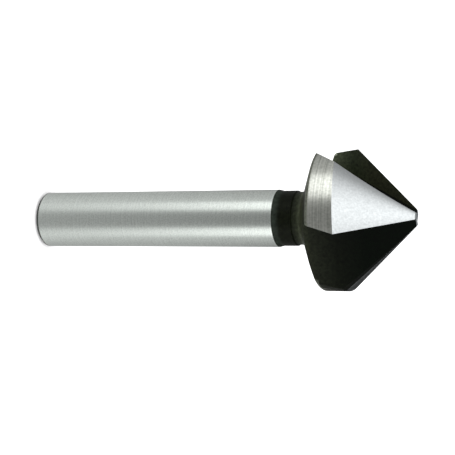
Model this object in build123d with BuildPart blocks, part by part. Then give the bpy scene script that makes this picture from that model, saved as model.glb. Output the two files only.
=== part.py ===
"""Three-flute 90 degree countersink with a plain straight shank, in millimetres.

The tool stands on its shank: +Z runs along the axis from the shank end to the
cutting tip, and the origin is the centre of the flat at the shank end. It is one
piece of high speed steel. The blank is turned as one profile, then the flutes are
ground along straight paths that climb to the point of the cone, and last each
conical land is relieved, so that it falls away behind its cutting edge.

Seen from the tip the tool turns counterclockwise, which is right-hand cutting.
"""
import os
from math import asin, cos, degrees, radians, sin, sqrt, tan

from build123d import *

# Turned blank
overall_length = 70.0
head_diameter = 25.0
point_angle = 90.0  # included angle of the cutting cone
front_flat_diameter = 2.9  # flat across the tip, where the cutting edges end
land_length = 4.62  # cylindrical land behind the cone, up to the corner with the rear face
rim_radius = 0.6  # rounding of that corner
rear_face_angle = 23.0  # slope of the rear face, off square to the axis
shank_diameter = 10.0
shank_end_chamfer = 0.55
neck_diameter = 9.6
neck_length = 5.06  # from the end of the shank to the rear face
neck_step_length = 0.8  # taper from the shank down to the neck
undercut_depth = 0.2  # narrow groove where the neck meets the rear face
undercut_length = 1.5
undercut_fillet = 1.2

# Flutes
flute_count = 3
first_edge_angle = 12.0  # turn of the first cutting edge from +X, about +Z
land_angle = 57.5  # turn from a cutting edge back to its heel, at the cone's foot
rake_angle = 17.0  # hook of the rake face at the cone's foot, seen along the axis
root_depth = 5.0  # sharp root of the flute below the head's outside, at the cone's foot
root_radius = 0.35
back_hollow = 0.3  # how far the flute's back wall is dished between root and heel

# Relief of the conical lands
relief_drop = 0.65  # how far the heel lies below the true cone, along the axis

# Derived sizes
head_radius = head_diameter / 2
shank_radius = shank_diameter / 2
neck_radius = neck_diameter / 2
tip_radius = front_flat_diameter / 2
cone_slope = tan(radians(point_angle / 2))
apex_z = overall_length + tip_radius / cone_slope
cone_foot_z = apex_z - head_radius / cone_slope
head_rear_z = cone_foot_z - land_length
undercut_radius = neck_radius - undercut_depth
rear_face_rise = (head_radius - undercut_radius) * tan(radians(rear_face_angle))
neck_end_z = head_rear_z - rear_face_rise
undercut_start_z = neck_end_z - undercut_length
shank_length = neck_end_z - neck_length
flute_pitch = 360 / flute_count


def on_foot_circle(radius: float, turn: float) -> Vector:
    """A point at the height of the cone's foot."""
    return Vector(radius * cos(radians(turn)), radius * sin(radians(turn)), cone_foot_z)


def turned_blank() -> Part:
    """The tool before grinding: one profile turned about the axis."""
    neck_root = (undercut_radius, neck_end_z)
    rear_rim = (head_radius, head_rear_z)
    with BuildPart() as blank:
        with BuildSketch(Plane.XZ) as profile:
            with BuildLine():
                Polyline(
                    (0, 0),
                    (shank_radius - shank_end_chamfer, 0),
                    (shank_radius, shank_end_chamfer),
                    (shank_radius, shank_length),
                    (neck_radius, shank_length + neck_step_length),
                    (neck_radius, undercut_start_z - undercut_depth),
                    (undercut_radius, undercut_start_z),
                    neck_root,
                    rear_rim,
                    (head_radius, cone_foot_z),
                    (tip_radius, overall_length),
                    (0, overall_length),
                    close=True,
                )
            make_face()
            fillet(profile.vertices().sort_by_distance(neck_root)[0], undercut_fillet)
            fillet(profile.vertices().sort_by_distance(rear_rim)[0], rim_radius)
        revolve(axis=Axis.Z)
    return blank.part


def flute_cutter() -> Part:
    """The space swept by the grinding wheel in front of the first cutting edge.

    The root of the flute is a straight line from the point of the cone. At the cone's
    foot it lies on the line that leaves the cutting edge at the rake angle, so the
    rake face holds the whole cutting edge. The wheel's profile is drawn square to
    that line: a straight rake side, a rounded root and a dished back side.
    """
    hook = radians(rake_angle)
    foot_root_radius = head_radius - root_depth
    hook_offset = head_radius * sin(hook)
    rake_width = head_radius * cos(hook) - sqrt(foot_root_radius**2 - hook_offset**2)
    root_lag = degrees(asin(rake_width * sin(hook) / foot_root_radius))

    root = on_foot_circle(foot_root_radius, first_edge_angle - root_lag)
    edge = on_foot_circle(head_radius, first_edge_angle)
    heel = on_foot_circle(head_radius, first_edge_angle + flute_pitch - land_angle)
    along = (Vector(0, 0, apex_z) - root).normalized()
    rake_side = (edge - root) - along * (edge - root).dot(along)
    wheel = Plane(origin=root, x_dir=rake_side, z_dir=along)
    heel_on_wheel = wheel.to_local_coords(heel)
    reach = 2 * head_diameter

    with BuildPart() as cutter:
        with BuildSketch(wheel) as section:
            with BuildLine():
                rake_line = Line((0, 0), (reach, 0))
                back_arc = SagittaArc((0, 0), (heel_on_wheel.X, heel_on_wheel.Y), back_hollow)
                back_line = Line(back_arc @ 1, back_arc @ 1 + back_arc % 1 * reach)
                Line(back_line @ 1, rake_line @ 1)
            make_face()
            fillet(section.vertices().sort_by_distance((0, 0))[0], root_radius)
        extrude(amount=overall_length, both=True)
    return cutter.part


def relief_cutter() -> Part:
    """What is ground off the cone behind the first cutting edge.

    The relieved land is part of a round cone with the same point as the tool's, tipped
    towards the cutting edge. The two cones touch along that edge, and from there the
    tipped one lies deeper and deeper, down to the heel.
    """
    half_point = radians(point_angle / 2)
    slant = head_radius / sin(half_point)
    tip_over = relief_drop * sin(half_point) / (slant * (1 - cos(radians(land_angle))))
    half_relief = half_point - tip_over
    margin = (flute_pitch - land_angle) / 3
    reach = 2 * slant

    edge_side = on_foot_circle(1, first_edge_angle) - Vector(0, 0, cone_foot_z)
    tipped_axis = Vector(0, 0, cos(tip_over)) - edge_side * sin(tip_over)
    across = edge_side.cross(tipped_axis)
    grinding_axis = Axis((0, 0, apex_z), tipped_axis)
    start = across.rotate(grinding_axis, -land_angle - margin)
    with BuildPart() as cutter:
        with BuildSketch(Plane(origin=(0, 0, apex_z), x_dir=start.cross(tipped_axis) * -1, z_dir=start)):
            with BuildLine():
                Polyline(
                    (0, 0),
                    (reach * sin(half_relief), -reach * cos(half_relief)),
                    (reach, -reach * cos(half_relief)),
                    (reach, slant),
                    (0, slant),
                    close=True,
                )
            make_face()
        revolve(axis=grinding_axis, revolution_arc=land_angle + 2 * margin)
    return cutter.part


blank = turned_blank()
flute = flute_cutter()
relief = relief_cutter()
with BuildPart() as countersink:
    add(blank)
    with PolarLocations(0, flute_count):
        add(flute, mode=Mode.SUBTRACT)
        add(relief, mode=Mode.SUBTRACT)
countersink.part.label = "countersink"

os.makedirs("parts", exist_ok=True)
export_step(countersink.part, "parts/countersink.step")
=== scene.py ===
from math import asin, cos, pi, radians, sin, sqrt, tan

import bpy
import numpy as np
from mathutils import Matrix, Vector


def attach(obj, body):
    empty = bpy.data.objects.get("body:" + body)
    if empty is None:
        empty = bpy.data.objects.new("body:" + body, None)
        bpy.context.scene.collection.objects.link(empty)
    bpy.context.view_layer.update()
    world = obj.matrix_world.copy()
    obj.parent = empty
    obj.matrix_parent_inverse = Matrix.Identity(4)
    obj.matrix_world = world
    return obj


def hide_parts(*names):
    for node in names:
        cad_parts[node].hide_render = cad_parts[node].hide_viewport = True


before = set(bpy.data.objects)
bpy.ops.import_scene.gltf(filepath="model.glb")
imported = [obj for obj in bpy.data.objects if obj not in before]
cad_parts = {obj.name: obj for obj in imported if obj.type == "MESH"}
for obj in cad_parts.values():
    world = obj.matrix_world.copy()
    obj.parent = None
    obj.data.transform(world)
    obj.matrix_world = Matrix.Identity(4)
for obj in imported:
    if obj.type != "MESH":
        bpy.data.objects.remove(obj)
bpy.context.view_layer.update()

# The countersink is one closed surface worked out on a grid. Its rows follow the tool from the tip
# down to the shank end, and its columns go round the axis: over a land, down a rake face, round the
# root of the flute and up the flute's back wall to the next land. Every crease is a row or a column.
# Sizes are in millimetres, in the solid's own frame, and become metres when the mesh is made.

MM = 0.001

# Turned blank
OVERALL_LENGTH = 70.0
HEAD_RADIUS = 12.5
TIP_RADIUS = 1.45  # flat across the tip, where the cutting edges end
LAND_LENGTH = 4.62  # cylindrical land behind the cone, up to the corner with the rear face
RIM_RADIUS = 0.6  # rounding of that corner
REAR_FACE_ANGLE = radians(23.0)  # slope of the rear face, off square to the axis
SHANK_RADIUS = 5.0
END_CHAMFER = 0.55
END_BAND = 0.15  # band beside the chamfer that the shank grinding leaves black
NECK_RADIUS = 4.8
NECK_LENGTH = 5.06  # from the end of the shank to the rear face
NECK_STEP = 0.8  # taper from the shank down to the neck
UNDERCUT_DEPTH = 0.2  # narrow groove where the neck meets the rear face
UNDERCUT_LENGTH = 1.5
UNDERCUT_FILLET = 1.2

# Flutes and relief
FLUTES = 3
FIRST_EDGE = radians(12.0)  # turn of the first cutting edge from +X, about +Z
LAND_ANGLE = radians(57.5)  # turn from a cutting edge back to its heel, at the cone's foot
RAKE_ANGLE = radians(17.0)  # hook of the rake face at the cone's foot, seen along the axis
ROOT_DEPTH = 5.0  # sharp root of the flute below the head's outside, at the cone's foot
ROOT_RADIUS = 0.35
BACK_HOLLOW = 0.3  # how far the flute's back wall is dished between root and heel
RELIEF_DROP = 0.65  # how far the heel lies below the true cone, along the axis

# Heights that follow. The cone's sides slope at 45 degrees, so a depth below its point is also a radius.
POINT = OVERALL_LENGTH + TIP_RADIUS
FOOT = POINT - HEAD_RADIUS
REAR = FOOT - LAND_LENGTH
RIM_TURN = pi / 2 - REAR_FACE_ANGLE
RIM_START = REAR + RIM_RADIUS * tan(RIM_TURN / 2)
UNDERCUT_RADIUS = NECK_RADIUS - UNDERCUT_DEPTH
NECK_END = REAR - (HEAD_RADIUS - UNDERCUT_RADIUS) * tan(REAR_FACE_ANGLE)
UNDERCUT_START = NECK_END - UNDERCUT_LENGTH
SHANK_LENGTH = NECK_END - NECK_LENGTH
PITCH = 2 * pi / FLUTES

# Grid: how many columns and rows each stretch of the surface has
LAND_COLUMNS, RAKE_COLUMNS, ROOT_COLUMNS, WALL_COLUMNS = 60, 12, 12, 28
CONE_ROWS, LAND_ROWS, RIM_ROWS = 40, 12, 8
REAR_ROWS, FILLET_ROWS, NECK_ROWS, SHANK_ROWS = 14, 8, 6, 24
HEAD_ROWS = CONE_ROWS + LAND_ROWS + RIM_ROWS
REAR_TWIST = radians(40.0)  # how far the columns turn on the rear face, which keeps them off the flutes
HALVINGS = 50  # times that a search halves its interval, enough for the last digit
WALL_OVERRUN = radians(6.0)  # how far past the heel the search along the back wall reaches
DEEPEST_CREASE = 1.2 * HEAD_RADIUS  # more than the relief lowers the crease at the heel
CREASE = radians(12.0)  # faces that meet at more than this show an edge

# Finishes, by their place in the tool's list of materials. The last is the oxide painted lighter on the rake
# faces: painted light.
SHANK, LAND, CONE, OXIDE, LIT_RAKE_OXIDE = range(5)
BLACK_END_STRIPS = 2  # the last strips of quads stay black: the band beside the chamfer and the chamfer
PAINTED_SHADE_TOOTH, PAINTED_SHADE_COLUMNS = 1, 8  # painted shade: on this tooth, lowest in the camera's view, the land's 8 columns next to the heel (about 8 degrees) take the oxide, not ground steel

# The turned blank at the head's rows, and the ends of its rear rim as depths below the cone's point
ROUND_RIM = np.linspace(0, RIM_TURN, RIM_ROWS + 1)[1:]
ON_CONE = np.arange(HEAD_ROWS) < CONE_ROWS
TURNED_RADIUS = np.concatenate([
    np.full(CONE_ROWS + LAND_ROWS, HEAD_RADIUS),
    HEAD_RADIUS - RIM_RADIUS * (1 - np.cos(ROUND_RIM))])
RIM_DEPTH = POINT - RIM_START
REAR_DEPTH = RIM_DEPTH + RIM_RADIUS * sin(RIM_TURN)
REAR_RADIUS = HEAD_RADIUS - RIM_RADIUS * (1 - cos(RIM_TURN))


# ---------------------------------------------------------------------------- the tool's surface

def polar(radius, turn, height):
    """Points from arrays of radius, turn about the axis and height."""
    return np.stack(np.broadcast_arrays(radius * np.cos(turn), radius * np.sin(turn), height), -1)


def turn_of(point):
    """Turn of points about the axis."""
    return np.arctan2(point[..., 1], point[..., 0])


def between(start, end, share):
    """Values at a share of the way from start to end."""
    return start * (1 - share) + end * share


def quadratic_root(square, half, rest):
    """Where square times x squared plus twice half times x plus rest is nought: one of the two places."""
    return (np.sqrt(half**2 - square * rest) - half) / square


def last_inside(near, far, inside):
    """The last place that is inside, where near is inside and far is not, by halving the interval."""
    for _ in range(HALVINGS):
        middle = (near + far) / 2
        here = inside(middle)
        near, far = np.where(here, middle, near), np.where(here, far, middle)
    return (near + far) / 2


def relieved_radius(behind):
    """Radius of the relieved land at one unit below the cone's point, by its turn behind the edge.

    The land is a round cone with the same point, tipped towards the cutting edge. A point on it
    makes the cone's own opening angle with its tipped axis, which is a quadratic in the radius.
    """
    tip_over = RELIEF_DROP / (2 * HEAD_RADIUS * (1 - cos(LAND_ANGLE)))
    upright, opening = cos(tip_over), cos(pi / 4 - tip_over)
    lean = np.cos(behind) * sin(tip_over)
    return quadratic_root(opening**2 - lean**2, -lean * upright, opening**2 - upright**2)


def relieved_limit(depth):
    """Radius of the next tooth's relieved land at these depths, as a function of the points there."""
    return lambda point: depth * relieved_radius(FIRST_EDGE + PITCH - turn_of(point))


class Flute:
    """The first flute: a wheel profile carried along a straight path through the cone's point.

    The profile is drawn square to the path, with the rake side along its first axis: a straight
    rake side, a root arc and a back wall that is an arc of a large circle. Slid along the path
    to one height, it becomes a shear of itself, moved out in proportion to the depth.
    """

    def __init__(self):
        root_radius = HEAD_RADIUS - ROOT_DEPTH
        width = HEAD_RADIUS * cos(RAKE_ANGLE) - sqrt(root_radius**2 - (HEAD_RADIUS * sin(RAKE_ANGLE))**2)
        lag = asin(width * sin(RAKE_ANGLE) / root_radius)
        root = polar(root_radius, FIRST_EDGE - lag, FOOT)
        edge = polar(HEAD_RADIUS, FIRST_EDGE, FOOT)
        heel = polar(HEAD_RADIUS, FIRST_EDGE + PITCH - LAND_ANGLE, FOOT)
        path = np.array([0, 0, POINT]) - root
        path /= np.linalg.norm(path)
        rake = edge - root - path * ((edge - root) @ path)
        rake /= np.linalg.norm(rake)
        axes = np.stack([rake, np.cross(path, rake)])
        self.root_line = root[:2] / HEAD_RADIUS
        self.shear = axes[:, :2] - axes[:, 2:] * path[:2] / path[2]

        heel = axes @ (heel - root)
        chord = np.hypot(*heel)
        self.wall_radius = (chord**2 / 4 + BACK_HOLLOW**2) / (2 * BACK_HOLLOW)
        outward = np.array([-heel[1], heel[0]]) / chord
        self.wall_centre = heel / 2 - outward * (self.wall_radius - BACK_HOLLOW)
        reach = sqrt((self.wall_radius - ROOT_RADIUS)**2 - (ROOT_RADIUS - self.wall_centre[1])**2)
        self.root_centre = np.array([self.wall_centre[0] - reach, ROOT_RADIUS])
        self.wall_start = turn_of(self.root_centre - self.wall_centre)
        self.wall_limit = turn_of(heel - self.wall_centre) - WALL_OVERRUN

    def place(self, profile, depth):
        """Profile points at a depth below the cone's point: depth times the root's line, plus the shear."""
        return depth[..., None] * self.root_line + profile @ self.shear

    def wall(self, turn):
        """Back wall of the profile: a circle's centre plus its radius at a turn."""
        return self.wall_centre + self.wall_radius * np.stack([np.cos(turn), np.sin(turn)], -1)

    def rake_reach(self, depth, radius):
        """Length of the rake side from the root to a radius: the root of a quadratic in that length."""
        side = self.shear[0]
        rest = depth**2 * (self.root_line @ self.root_line) - radius**2
        return quadratic_root(side @ side, depth * (self.root_line @ side), rest)

    def wall_reach(self, depth, limit):
        """Turn on the back wall where it comes out through a limiting radius."""
        def inside(turn):
            point = self.place(self.wall(turn), depth)
            return np.hypot(point[..., 0], point[..., 1]) < limit(point)

        start, end = np.full(depth.shape, self.wall_start), np.full(depth.shape, self.wall_limit)
        return last_inside(start, end, inside)

    def rear_reach(self, profile):
        """Depth where profile points leave through the rear face.

        There their radius is the rear cone's, which is a quadratic in the depth.
        """
        flare = 1 / tan(REAR_FACE_ANGLE)
        rear_cone = REAR_RADIUS + REAR_DEPTH * flare
        start = profile @ self.shear
        square = self.root_line @ self.root_line - flare**2
        half = start @ self.root_line + rear_cone * flare
        return quadratic_root(square, half, (start**2).sum(1) - rear_cone**2)


def row_depths(crease):
    """Depths of the head's rows below the cone's point, by the depth of the crease of cone and cylinder.

    They run evenly from the tip flat to the crease, then evenly to the rounding of the rear rim,
    and round that arc: its start plus its radius times the sine of the turn.
    """
    crease = np.asarray(crease, float)
    down_cone = np.linspace(0, 1, CONE_ROWS)
    down_land = np.linspace(0, 1, LAND_ROWS + 1)[1:]
    cone = TIP_RADIUS + np.multiply.outer(down_cone, crease - TIP_RADIUS)
    land = crease + np.multiply.outer(down_land, RIM_DEPTH - crease)
    rim = np.multiply.outer(RIM_DEPTH + RIM_RADIUS * np.sin(ROUND_RIM), np.ones(crease.shape))
    return np.concatenate([cone, land, rim])


def heel_crease(flute):
    """Depth of the crease at the heel, where the back wall meets both cone and cylinder."""
    def inside(depth):
        heel = flute.place(flute.wall(flute.wall_reach(depth, relieved_limit(depth))), depth)
        return np.hypot(heel[:, 0], heel[:, 1]) < HEAD_RADIUS

    return last_inside(np.array([HEAD_RADIUS]), np.array([DEEPEST_CREASE]), inside)[0]


def land_surface(heel_turn, edge_turn):
    """One land, cone, cylinder and rear rim, with columns from heel to edge.

    Each point is at a share of the turn from heel to edge. Its depth follows that column's crease,
    and its radius is the relieved cone's for that turn, or below the crease the turned blank's.
    """
    turn = between(heel_turn[:, None], edge_turn[:, None], np.linspace(0, 1, LAND_COLUMNS + 1))
    relief = relieved_radius(FIRST_EDGE - turn)
    depth = row_depths(HEAD_RADIUS / relief[CONE_ROWS - 1])
    radius = np.where(ON_CONE[:, None], depth * relief, TURNED_RADIUS[:, None])
    return polar(radius, turn, POINT - depth)


def flute_surface(flute, edge_depth, edge_reach, heel_depth, heel_reach):
    """The flute between a cutting edge and the next heel, without those two columns.

    Each row is the profile from the edge down the rake side, round the root arc and along the back
    wall to the heel. A point's depth goes from the edge's to the heel's by its share of that length.
    Towards the rear the rows dip, by the square of their share of the way, until in the last one
    each line of the flute leaves through the coned rear face.
    """
    share = np.arange(RAKE_COLUMNS) / RAKE_COLUMNS
    rake = between(edge_reach[:, None], flute.root_centre[0], share)
    rake = np.stack([rake, 0 * rake], -1)
    turn = np.linspace(-pi / 2, flute.wall_start - 2 * pi, ROOT_COLUMNS + 1)[:-1]
    root = flute.root_centre + ROOT_RADIUS * np.stack([np.cos(turn), np.sin(turn)], -1)
    root = np.broadcast_to(root, (HEAD_ROWS,) + root.shape)
    share = np.arange(WALL_COLUMNS + 1) / WALL_COLUMNS
    wall = flute.wall(between(flute.wall_start, heel_reach[:, None], share))
    profile = np.concatenate([rake, root, wall], 1)

    step = np.linalg.norm(np.diff(profile, axis=1), axis=2)
    share = np.cumsum(step, 1)[:, :-1] / step.sum(1)[:, None]
    profile = profile[:, 1:-1]
    depth = between(edge_depth[:, None], heel_depth[:, None], share)
    dip = ((edge_depth - TIP_RADIUS) / (REAR_DEPTH - TIP_RADIUS))**2
    depth = depth + np.multiply.outer(dip, flute.rear_reach(profile[-1]) - depth[-1])
    return np.concatenate([flute.place(profile, depth), (POINT - depth)[..., None]], -1)


def head_surface():
    """One tooth of the head and the flute in front of it, rows from the tip flat to the rear face.

    The cutting edge is where the rake side comes out through the cone or the turned blank. The heel
    is where the back wall does, turned back by one pitch to the tooth that is drawn.
    """
    flute = Flute()
    edge_depth, heel_depth = row_depths(HEAD_RADIUS), row_depths(heel_crease(flute))
    relief = relieved_limit(heel_depth)
    edge_reach = flute.rake_reach(edge_depth, np.where(ON_CONE, edge_depth, TURNED_RADIUS))
    heel_reach = flute.wall_reach(heel_depth, lambda point: np.where(ON_CONE, relief(point), TURNED_RADIUS))
    edge = flute.place(np.stack([edge_reach, 0 * edge_reach], -1), edge_depth)
    heel = flute.place(flute.wall(heel_reach), heel_depth)
    land = land_surface(turn_of(heel) - PITCH, turn_of(edge))
    hollow = flute_surface(flute, edge_depth, edge_reach, heel_depth, heel_reach)
    return np.concatenate([land, hollow], 1)


def around(tooth):
    """All the teeth: the first one turned about the axis by each multiple of the pitch."""
    turn = PITCH * np.arange(FLUTES)[:, None, None]
    x, y, z = np.moveaxis(tooth, -1, 0)
    turned_x = x * np.cos(turn) - y * np.sin(turn)
    turned_y = x * np.sin(turn) + y * np.cos(turn)
    return np.concatenate(np.stack([turned_x, turned_y, z + 0 * turn], -1), 1)


def rear_and_shank(rim):
    """Rows below the head: the coned rear face, the undercut, the neck, the shank and its chamfer.

    On the rear face, radius and turn go evenly from the head's last row to evenly spaced columns
    at the undercut. From there each row is a full circle of the turned profile.
    """
    columns = len(rim)
    rim_radius, rim_turn = np.hypot(rim[:, 0], rim[:, 1]), np.unwrap(turn_of(rim))
    even = rim_turn[LAND_COLUMNS] - REAR_TWIST + 2 * pi * (np.arange(columns) - LAND_COLUMNS) / columns

    swing = np.linspace(pi / 2 - REAR_FACE_ANGLE, 0, FILLET_ROWS)
    fillet_start = NECK_END - UNDERCUT_FILLET * tan(swing[0] / 2)
    radius = np.concatenate([
        UNDERCUT_RADIUS + UNDERCUT_FILLET * (1 - np.cos(swing)),
        [UNDERCUT_RADIUS],
        np.full(NECK_ROWS, NECK_RADIUS),
        np.full(SHANK_ROWS, SHANK_RADIUS),
        [SHANK_RADIUS - END_CHAMFER]])
    height = np.concatenate([
        fillet_start + UNDERCUT_FILLET * np.sin(swing),
        [UNDERCUT_START],
        np.linspace(UNDERCUT_START - UNDERCUT_DEPTH, SHANK_LENGTH + NECK_STEP, NECK_ROWS),
        np.linspace(SHANK_LENGTH, END_CHAMFER + END_BAND, SHANK_ROWS - 1),
        [END_CHAMFER, 0]])
    turned = polar(radius[:, None], even, height[:, None])

    share = np.linspace(0, 1, REAR_ROWS + 1)[1:-1, None]
    face_radius = between(rim_radius, radius[0], share)
    face_height = REAR - (HEAD_RADIUS - face_radius) * tan(REAR_FACE_ANGLE)
    face = polar(face_radius, between(rim_turn, even, share), face_height)
    return np.concatenate([face, turned])


def quad_finishes(rows, columns):
    """The finish of each quad, by the stretches that its row and its column lie in."""
    row = np.arange(rows - 1)[:, None]
    tooth, column = np.divmod(np.arange(columns), columns // FLUTES)
    on_land = column < LAND_COLUMNS
    # painted light: the rake faces get the copy of the oxide that is painted lighter
    on_rake = ~on_land & (column < LAND_COLUMNS + RAKE_COLUMNS) & (row < HEAD_ROWS - 1)
    # painted shade: on one tooth the land's strip next to the heel keeps the oxide, standing in for shade on
    # it
    ground = on_land & ((tooth != PAINTED_SHADE_TOOTH) | (column >= PAINTED_SHADE_COLUMNS))
    on_cone = ground & (row < CONE_ROWS - 1)
    on_cylinder = ground & (row >= CONE_ROWS - 1) & (row < CONE_ROWS + LAND_ROWS - 1)
    on_shank = (row >= rows - 1 - SHANK_ROWS) & (row < rows - 1 - BLACK_END_STRIPS)
    return np.select([on_cone, on_cylinder, on_rake, on_shank], [CONE, LAND, LIT_RAKE_OXIDE, SHANK], OXIDE)


def countersink_surface():
    """The points of the whole grid, its faces and the finish of each face.

    Quads join each row to the next and the last column to the first. The tip flat and the shank end
    are one face each: the tip is ground like the cone, and the shank end stays black.
    """
    head = around(head_surface())
    grid = np.concatenate([head, rear_and_shank(head[-1])])
    rows, columns = grid.shape[:2]
    index = np.arange(rows * columns).reshape(rows, columns)
    beside = np.roll(index, -1, 1)
    quads = np.stack([index[:-1], index[1:], beside[1:], beside[:-1]], -1)
    caps = [index[0].tolist(), index[-1][::-1].tolist()]
    finishes = [*quad_finishes(rows, columns).ravel(), CONE, OXIDE]
    return grid.reshape(-1, 3), quads.reshape(-1, 4).tolist() + caps, finishes


def mesh_object(name, points, faces, finishes, materials):
    """A mesh from points in millimetres, smooth between its creases."""
    mesh = bpy.data.meshes.new(name)
    mesh.from_pydata((points * MM).tolist(), [], faces)
    for material in materials:
        mesh.materials.append(material)
    mesh.polygons.foreach_set("material_index", np.array(finishes, np.int32))
    mesh.shade_smooth()
    mesh.set_sharp_from_angle(angle=CREASE)
    mesh.validate()
    piece = bpy.data.objects.new(name, mesh)
    bpy.context.scene.collection.objects.link(piece)
    return piece


# ---------------------------------------------------------------------------- materials

def linear(hex_colour):
    """sRGB hex to linear colour."""
    s = np.array([int(hex_colour[i:i + 2], 16) for i in (1, 3, 5)]) / 255
    return (*np.where(s <= 0.04045, s / 12.92, ((s + 0.055) / 1.055)**2.4).tolist(), 1.0)


def add_node(tree, kind, settings=None, stops=(), **links):
    """Adds a node. Settings are its own, and stops are a colour ramp's places and colours.

    Each link is a value or another node's output. It goes to the input of that name, with _ for a
    space, or of that number, as i6 is for the seventh.
    """
    node = tree.nodes.new(kind)
    for key, value in (settings or {}).items():
        setattr(node, key, value)
    if stops:
        ramp = node.color_ramp.elements
        ramp.remove(ramp[1])
        ramp[0].position, ramp[0].color = stops[0]
        for place, colour in stops[1:]:
            ramp.new(place).color = colour
    for key, value in links.items():
        numbered = key[0] == "i" and key[1:].isdigit()
        socket = node.inputs[int(key[1:]) if numbered else key.replace("_", " ")]
        if isinstance(value, bpy.types.NodeSocket):
            tree.links.new(value, socket)
        else:
            socket.default_value = value
    return node


def new_material(name):
    """An empty material and its node tree."""
    material = bpy.data.materials.new(name)
    material.use_nodes = True
    tree = material.node_tree
    tree.nodes.clear()
    return material, tree


NOISE_LOW, NOISE_HIGH = 0.3, 0.7  # nearly all of a noise lies between these
SHADE_LOW, SHADE_HIGH = 0.35, 0.65  # a closer pair, past which a shade is at its darkest or lightest

# The wheel's marks are a few hundredths of a millimetre apart, too fine to show, so they are drawn
# about ten times as coarse.
MARK_WIDTH, MARK_DEPTH = 0.30, 0.004
MARK_CHANGES = 12  # in a metre across the tool, so a mark hardly changes on its way round it
ACROSS_MARKS = 0.25  # share of a full turn from the marks to the way they spread a highlight
STEEL_ROUGHNESS_SPREAD = 0.05


def ground_steel(name, light, dark, roughness, spread, grain_width, grain_draw, mark_share, grazing):
    """Cylindrically ground high speed steel, untreated and satin bright.

    The wheel leaves fine marks round the axis, which draw every highlight out along it, and the
    marks and the steel's own grain make bright areas look streaked and sandy, not like a mirror.
    Seen nearly edge on, the grazing tint darkens the reflection: painted shade along the lands
    where they are seen edge on. The grain is grain_draw times as long along the axis as it is wide.
    """
    material, tree = new_material(name)
    where = add_node(tree, "ShaderNodeTexCoord").outputs["Object"]
    stretched = add_node(tree, "ShaderNodeMapping", Vector=where,
                         Scale=(MARK_CHANGES, MARK_CHANGES, 1 / (MARK_WIDTH * MM)))
    marks = add_node(tree, "ShaderNodeTexNoise", Vector=stretched.outputs[0], Scale=1.0, Detail=3.0,
                     Roughness=0.6)
    drawn = add_node(tree, "ShaderNodeMapping", Vector=where, Scale=(1, 1, 1 / grain_draw))
    grain = add_node(tree, "ShaderNodeTexNoise", Vector=drawn.outputs[0], Scale=1 / (grain_width * MM),
                     Detail=2.0, Roughness=0.6)
    mixed = add_node(tree, "ShaderNodeMix", {"data_type": "FLOAT"}, Factor=mark_share,
                     A=grain.outputs["Fac"], B=marks.outputs["Fac"]).outputs[0]
    shade = add_node(tree, "ShaderNodeMapRange", Value=mixed, From_Min=SHADE_LOW, From_Max=SHADE_HIGH)
    colour = add_node(tree, "ShaderNodeMix", {"data_type": "RGBA"}, i0=shade.outputs[0],
                      i6=linear(dark), i7=linear(light))
    rough = add_node(tree, "ShaderNodeMapRange", Value=mixed, From_Min=NOISE_LOW, From_Max=NOISE_HIGH,
                     To_Min=roughness + STEEL_ROUGHNESS_SPREAD, To_Max=roughness - STEEL_ROUGHNESS_SPREAD)
    bump = add_node(tree, "ShaderNodeBump", Strength=0.5, Distance=MARK_DEPTH * MM, Height=mixed)
    round_axis = add_node(tree, "ShaderNodeTangent", {"direction_type": "RADIAL", "axis": "Z"})
    shader = add_node(tree, "ShaderNodeBsdfPrincipled", Base_Color=colour.outputs[2], Metallic=1.0,
                      Roughness=rough.outputs[0], Anisotropic=spread, Anisotropic_Rotation=ACROSS_MARKS,
                      Tangent=round_axis.outputs[0], Normal=bump.outputs[0],
                      Specular_Tint=(grazing, grazing, grazing, 1))
    add_node(tree, "ShaderNodeOutputMaterial", Surface=shader.outputs[0])
    return material


CLOUD_WIDTH, CLOUD_DEPTH = 0.5, 0.04
OXIDE_MOTTLE = 0.5  # share by which the cloud darkens and lightens the oxide
ROUGHEST_OXIDE, SMOOTHEST_OXIDE = 0.46, 0.38
RIM_WEAR_AND_SHEEN_FROM, RIM_WEAR_AND_SHEEN_FULLY = 0.45, 0.20  # how far in from the head's outside the rim is painted grey, as wear and as a painted highlight
RIM_WEAR_AND_SHEEN_FADE = 0.1  # height over which the grey sets in, at the start of the rounding
# grey of the rounded rim: partly wear, partly a painted highlight
RIM_WEAR_AND_SHEEN_GREY = "#474a42"


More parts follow.
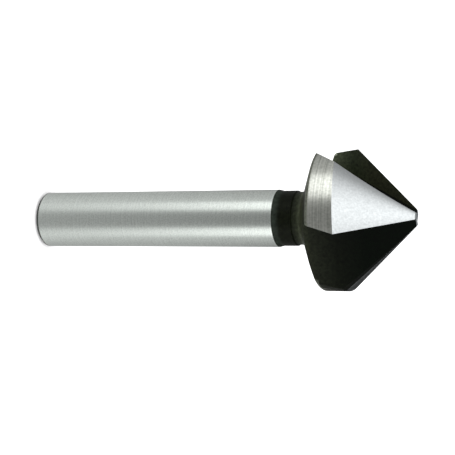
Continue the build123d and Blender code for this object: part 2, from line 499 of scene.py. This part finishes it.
def black_oxide_steel(name, lightness, tip_colour):
    """Hot black oxide on high speed steel, put on before the last grinding.

    The steel turns to a micron of magnetite, so it looks nearly black with a faint green cast and
    no metal shine. It is painted a lighter grey in the undercut and on the rear face, and lighter
    towards the rear of the flutes than at the tip: a painted reflection. The rounded rim is painted
    grey too: partly rubbing wear, partly a painted highlight along the edge. The cloud follows the
    satin left by the flute wheel, a few tenths of a millimetre.
    """
    material, tree = new_material(name)
    where = add_node(tree, "ShaderNodeTexCoord").outputs["Object"]
    height = add_node(tree, "ShaderNodeSeparateXYZ", Vector=where).outputs["Z"]
    share = add_node(tree, "ShaderNodeMapRange", Value=height, From_Max=POINT * MM)

    # By height: dark on the shank end and the neck. Painted reflection: a lighter grey in the undercut and
    # on the rear face, and on the flutes lighter towards the rear than at the tip
    colours = [(0.0, "#050604"), (1.0, "#1f251f"),
               (SHANK_LENGTH + 0.6, "#1f251f"), (SHANK_LENGTH + 1.3, "#0b0e06"),
               (UNDERCUT_START - 0.3, "#0b0e06"), (UNDERCUT_START + 0.3, "#171b11"),
               (UNDERCUT_START + 1.4, "#2a2e21"), (NECK_END + 0.7, "#2a2e21"),
               (REAR, "#171a12"), (FOOT - 1, "#090c06"), (FOOT + 3, tip_colour)]
    by_height_with_painted_reflection = add_node(tree, "ShaderNodeValToRGB", Fac=share.outputs[0],
                     stops=[(place / POINT, linear(colour)) for place, colour in colours])

    # The rim is painted a lighter grey at the head's outside, from the start of its rounding down: partly
    # rubbing wear, partly a painted highlight along the edge
    flat = add_node(tree, "ShaderNodeMapping", Vector=where, Scale=(1, 1, 0))
    radius = add_node(tree, "ShaderNodeVectorMath", {"operation": "LENGTH"}, i0=flat.outputs[0])
    outside = add_node(tree, "ShaderNodeMapRange", Value=radius.outputs["Value"],
                       From_Min=(HEAD_RADIUS - RIM_WEAR_AND_SHEEN_FROM) * MM, From_Max=(HEAD_RADIUS - RIM_WEAR_AND_SHEEN_FULLY) * MM)
    behind = add_node(tree, "ShaderNodeMapRange", Value=height,
                      From_Min=(RIM_START + RIM_WEAR_AND_SHEEN_FADE) * MM, From_Max=RIM_START * MM)
    rim_wear_and_sheen = add_node(tree, "ShaderNodeMath", {"operation": "MULTIPLY"}, i0=outside.outputs[0],
                      i1=behind.outputs[0])
    with_rim_wear_and_sheen = add_node(tree, "ShaderNodeMix", {"data_type": "RGBA"}, i0=rim_wear_and_sheen.outputs[0],
                    i6=by_height_with_painted_reflection.outputs["Color"], i7=linear(RIM_WEAR_AND_SHEEN_GREY))

    cloud = add_node(tree, "ShaderNodeTexNoise", Vector=where, Scale=1 / (CLOUD_WIDTH * MM), Detail=3.0,
                     Roughness=0.7).outputs["Fac"]
    mottle = add_node(tree, "ShaderNodeMapRange", Value=cloud, From_Min=NOISE_LOW, From_Max=NOISE_HIGH,
                      To_Min=(1 - OXIDE_MOTTLE) * lightness, To_Max=(1 + OXIDE_MOTTLE) * lightness)
    colour = add_node(tree, "ShaderNodeMix", {"data_type": "RGBA", "blend_type": "MULTIPLY"}, i0=1.0,
                      i6=with_rim_wear_and_sheen.outputs[2], i7=mottle.outputs[0])
    rough = add_node(tree, "ShaderNodeMapRange", Value=cloud, From_Min=NOISE_LOW, From_Max=NOISE_HIGH,
                     To_Min=ROUGHEST_OXIDE, To_Max=SMOOTHEST_OXIDE)
    bump = add_node(tree, "ShaderNodeBump", Strength=0.4, Distance=CLOUD_DEPTH * MM, Height=cloud)
    shader = add_node(tree, "ShaderNodeBsdfPrincipled", Base_Color=colour.outputs[2],
                      Roughness=rough.outputs[0], Specular_IOR_Level=0.05, Normal=bump.outputs[0])
    add_node(tree, "ShaderNodeOutputMaterial", Surface=shader.outputs[0])
    return material


def matt_paper(name, colour):
    """Uncoated white paper, pressed matt, which is evenly bright and mirrors nothing."""
    material, tree = new_material(name)
    shader = add_node(tree, "ShaderNodeBsdfPrincipled", Base_Color=linear(colour), Roughness=1.0,
                      Specular_IOR_Level=0.0)
    add_node(tree, "ShaderNodeOutputMaterial", Surface=shader.outputs[0])
    return material


# The shank is finish ground, so its satin is the brightest and most even
shank_steel = ground_steel("ground_high_speed_steel", light="#e2e8e3", dark="#bfc5c0", roughness=0.36,
                           spread=0.56, grain_width=0.25, grain_draw=1.0, mark_share=0.40, grazing=1.0)
# The cylindrical lands come fresh from a coarser wheel, so they are the most streaked
land_steel = ground_steel("fresh_ground_high_speed_steel", light="#dddfd8", dark="#a0a39b", roughness=0.35,
                          spread=0.45, grain_width=0.35, grain_draw=1.4, mark_share=0.65, grazing=0.1)
# The conical lands are relief ground with light passes, so they are smoother and a cooler grey
cone_steel = ground_steel("relief_ground_high_speed_steel", light="#c9cdce", dark="#babebf", roughness=0.345,
                          spread=0.40, grain_width=0.30, grain_draw=1.4, mark_share=0.20, grazing=0.1)
flute_oxide = black_oxide_steel("black_oxide_on_high_speed_steel", lightness=0.8, tip_colour="#020602")
# painted light: the rake faces lean towards the floor, so they get a copy of the oxide four and a half times
# as light, a warm dark grey
rake_oxide = black_oxide_steel("black_oxide_painted_lighter_on_rakes", lightness=3.6, tip_colour="#0a0b06")

tool = mesh_object("countersink_tool", *countersink_surface(),
                   [shank_steel, land_steel, cone_steel, flute_oxide, rake_oxide])
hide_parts("countersink")
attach(tool, "root")


# ---------------------------------------------------------------------------- floor, light and camera

# The steel mirrors the room and not the floor, and the floor blocks none of the lights
FLOOR_HALF = 6000.0
corners = FLOOR_HALF * np.array([(-1, -1, 0), (1, -1, 0), (1, 1, 0), (-1, 1, 0)])
floor = mesh_object("floor", corners, [(0, 1, 2, 3)], [0], [matt_paper("matt_white_paper", "#f9f9f9")])
floor.visible_glossy = False
floor.visible_shadow = False


def softbox(name, place, aim, width, height, radiance):
    """A soft rectangular light, in metres; its power is pi times its area times its brightness."""
    light = bpy.data.lights.new(name, "AREA")
    light.shape, light.size, light.size_y = "RECTANGLE", width, height
    light.energy = pi * width * height * radiance
    box = bpy.data.objects.new(name, light)
    box.location = place
    box.rotation_mode = "QUATERNION"
    box.rotation_quaternion = (Vector(place) - Vector(aim)).to_track_quat("Z", "Y")
    box.visible_camera = False
    bpy.context.scene.collection.objects.link(box)


# Two strips in front, one each side of the camera, and a panel above and behind
strip = {"aim": (0, 0, 0.05), "width": 0.235, "height": 0.28, "radiance": 3.05}
softbox("left_strip", (0.230, -0.278, 0.08), **strip)
softbox("right_strip", (0.212, 0.291, 0.08), **strip)
softbox("back_panel", (-0.50, 0.0, 0.26), aim=(0, 0, 0.07), width=0.40, height=0.14, radiance=1.6)

# What the steel mirrors apart from the lights, by the direction that the mirrored ray takes: +X is the
# front, where the camera stands, and +Z runs along the tool. All other rays meet plain white paper.
PAPER_GLOW = 1.45
SIDE_GLOW, FRONT_GLOW, FRONT_FROM = 0.50, 0.116, 0.60  # grey at the sides, dark from this X on
REAR_SHARE, REAR_FROM = 0.64, -0.9  # share of the sides' grey that is left from this X on
CEILING_AIM, CEILING_EDGE, CEILING_GLOW = (0.15, -0.12, 0.98), 0.68, 1.73  # edge: cosine to the aim
CARD_AIM, CARD_SIZE = (-0.93, 0.30, 0.0), (0.95, 0.80, 0.25)  # a dark card behind the tool
CARD_EDGE, CARD_CLEAR = 0.85, 1.2  # its soft edge, in shares of its size
CARD_SHARE = 0.04  # share of the walls' brightness that is left on it
TABLE_GLOW = 1.2  # times the table below, by Z from straight down to past its bright edge
TABLE = [(-0.85, 1.0), (-0.62, 0.25), (-0.54, 0.16), (-0.48, 0.02), (-0.42, 0.40), (-0.33, 0.0)]


def mirrored_room(tree):
    """Brightness of the room by direction: walls times card, plus the table below and the ceiling above."""
    where = add_node(tree, "ShaderNodeTexCoord").outputs["Generated"]
    split = add_node(tree, "ShaderNodeSeparateXYZ", Vector=where)
    front = add_node(tree, "ShaderNodeMapRange", Value=split.outputs["X"], From_Min=0.0,
                     From_Max=FRONT_FROM, To_Min=SIDE_GLOW, To_Max=FRONT_GLOW)
    rear = add_node(tree, "ShaderNodeMapRange", Value=split.outputs["X"], From_Min=0.0,
                    From_Max=REAR_FROM, To_Min=1.0, To_Max=REAR_SHARE)
    walls = add_node(tree, "ShaderNodeMath", {"operation": "MULTIPLY"}, i0=front.outputs[0],
                     i1=rear.outputs[0])

    from_card = add_node(tree, "ShaderNodeVectorMath", {"operation": "SUBTRACT"}, i0=where, i1=CARD_AIM)
    by_size = add_node(tree, "ShaderNodeVectorMath", {"operation": "DIVIDE"}, i0=from_card.outputs[0],
                       i1=CARD_SIZE)
    card_reach = add_node(tree, "ShaderNodeVectorMath", {"operation": "LENGTH"}, i0=by_size.outputs[0])
    card = add_node(tree, "ShaderNodeMapRange", Value=card_reach.outputs["Value"], From_Min=CARD_EDGE,
                    From_Max=CARD_CLEAR, To_Min=CARD_SHARE, To_Max=1.0)
    sides = add_node(tree, "ShaderNodeMath", {"operation": "MULTIPLY"}, i0=walls.outputs[0],
                     i1=card.outputs[0])

    below = add_node(tree, "ShaderNodeMapRange", Value=split.outputs["Z"], From_Min=-1.0, From_Max=0.0)
    table = add_node(tree, "ShaderNodeValToRGB", Fac=below.outputs[0],
                     stops=[(place + 1, (glow, glow, glow, 1)) for place, glow in TABLE])
    level = add_node(tree, "ShaderNodeMath", {"operation": "MULTIPLY_ADD"}, i0=table.outputs[0],
                     i1=TABLE_GLOW, i2=sides.outputs[0])
    overhead = add_node(tree, "ShaderNodeVectorMath", {"operation": "DOT_PRODUCT"}, i0=where, i1=CEILING_AIM)
    ceiling = add_node(tree, "ShaderNodeMapRange", Value=overhead.outputs["Value"], From_Min=CEILING_EDGE,
                       From_Max=1.0, To_Min=0.0, To_Max=CEILING_GLOW)
    return add_node(tree, "ShaderNodeMath", {"operation": "ADD"}, i0=level.outputs[0],
                    i1=ceiling.outputs[0]).outputs[0]


# The world is not sampled as a light, so that each ray meets the side of it that is meant for its kind
world = bpy.data.worlds.new("studio")
bpy.context.scene.world = world
world.use_nodes = True
world.cycles.sampling_method = "NONE"
studio = world.node_tree
studio.nodes.clear()
rays = add_node(studio, "ShaderNodeLightPath")
room = add_node(studio, "ShaderNodeBackground", Color=(1, 1, 1, 1), Strength=mirrored_room(studio))
paper = add_node(studio, "ShaderNodeBackground", Color=(1, 1, 1, 1), Strength=PAPER_GLOW)
seen = add_node(studio, "ShaderNodeMixShader", i0=rays.outputs["Is Glossy Ray"], i1=paper.outputs[0],
                i2=room.outputs[0])
add_node(studio, "ShaderNodeOutputWorld", Surface=seen.outputs[0])

# The camera looks at the standing tool from beside it, a little from the tip's end, and is turned on
# its side, so that the tool lies across the frame with its tip to the right
CAMERA_PLACE = (0.2019989, 0.0, 0.1150617)  # metres
YAW, TILT, ROLL = 0.3727, -0.0073, -0.0048  # turn from square to the axis, and two small trims
FOCAL_PIXELS, FRAME_PIXELS, SENSOR_WIDTH = 1226.1813, 455, 36.0
camera_data = bpy.data.cameras.new("camera")
camera_data.sensor_width = SENSOR_WIDTH
camera_data.lens = FOCAL_PIXELS / FRAME_PIXELS * SENSOR_WIDTH
camera_data.clip_start, camera_data.clip_end = 0.01, 50.0
camera = bpy.data.objects.new("camera", camera_data)
bpy.context.scene.collection.objects.link(camera)
sideways = Matrix(((0, 0, 1), (0, -1, 0), (1, 0, 0)))
aim = (sideways @ Matrix.Rotation(YAW, 3, "Y") @ Matrix.Rotation(TILT, 3, "X")
       @ Matrix.Rotation(ROLL, 3, "Z"))
camera.matrix_world = Matrix.Translation(CAMERA_PLACE) @ aim.to_4x4()
bpy.context.scene.camera = camera
bpy.context.scene.view_settings.view_transform = "Standard"
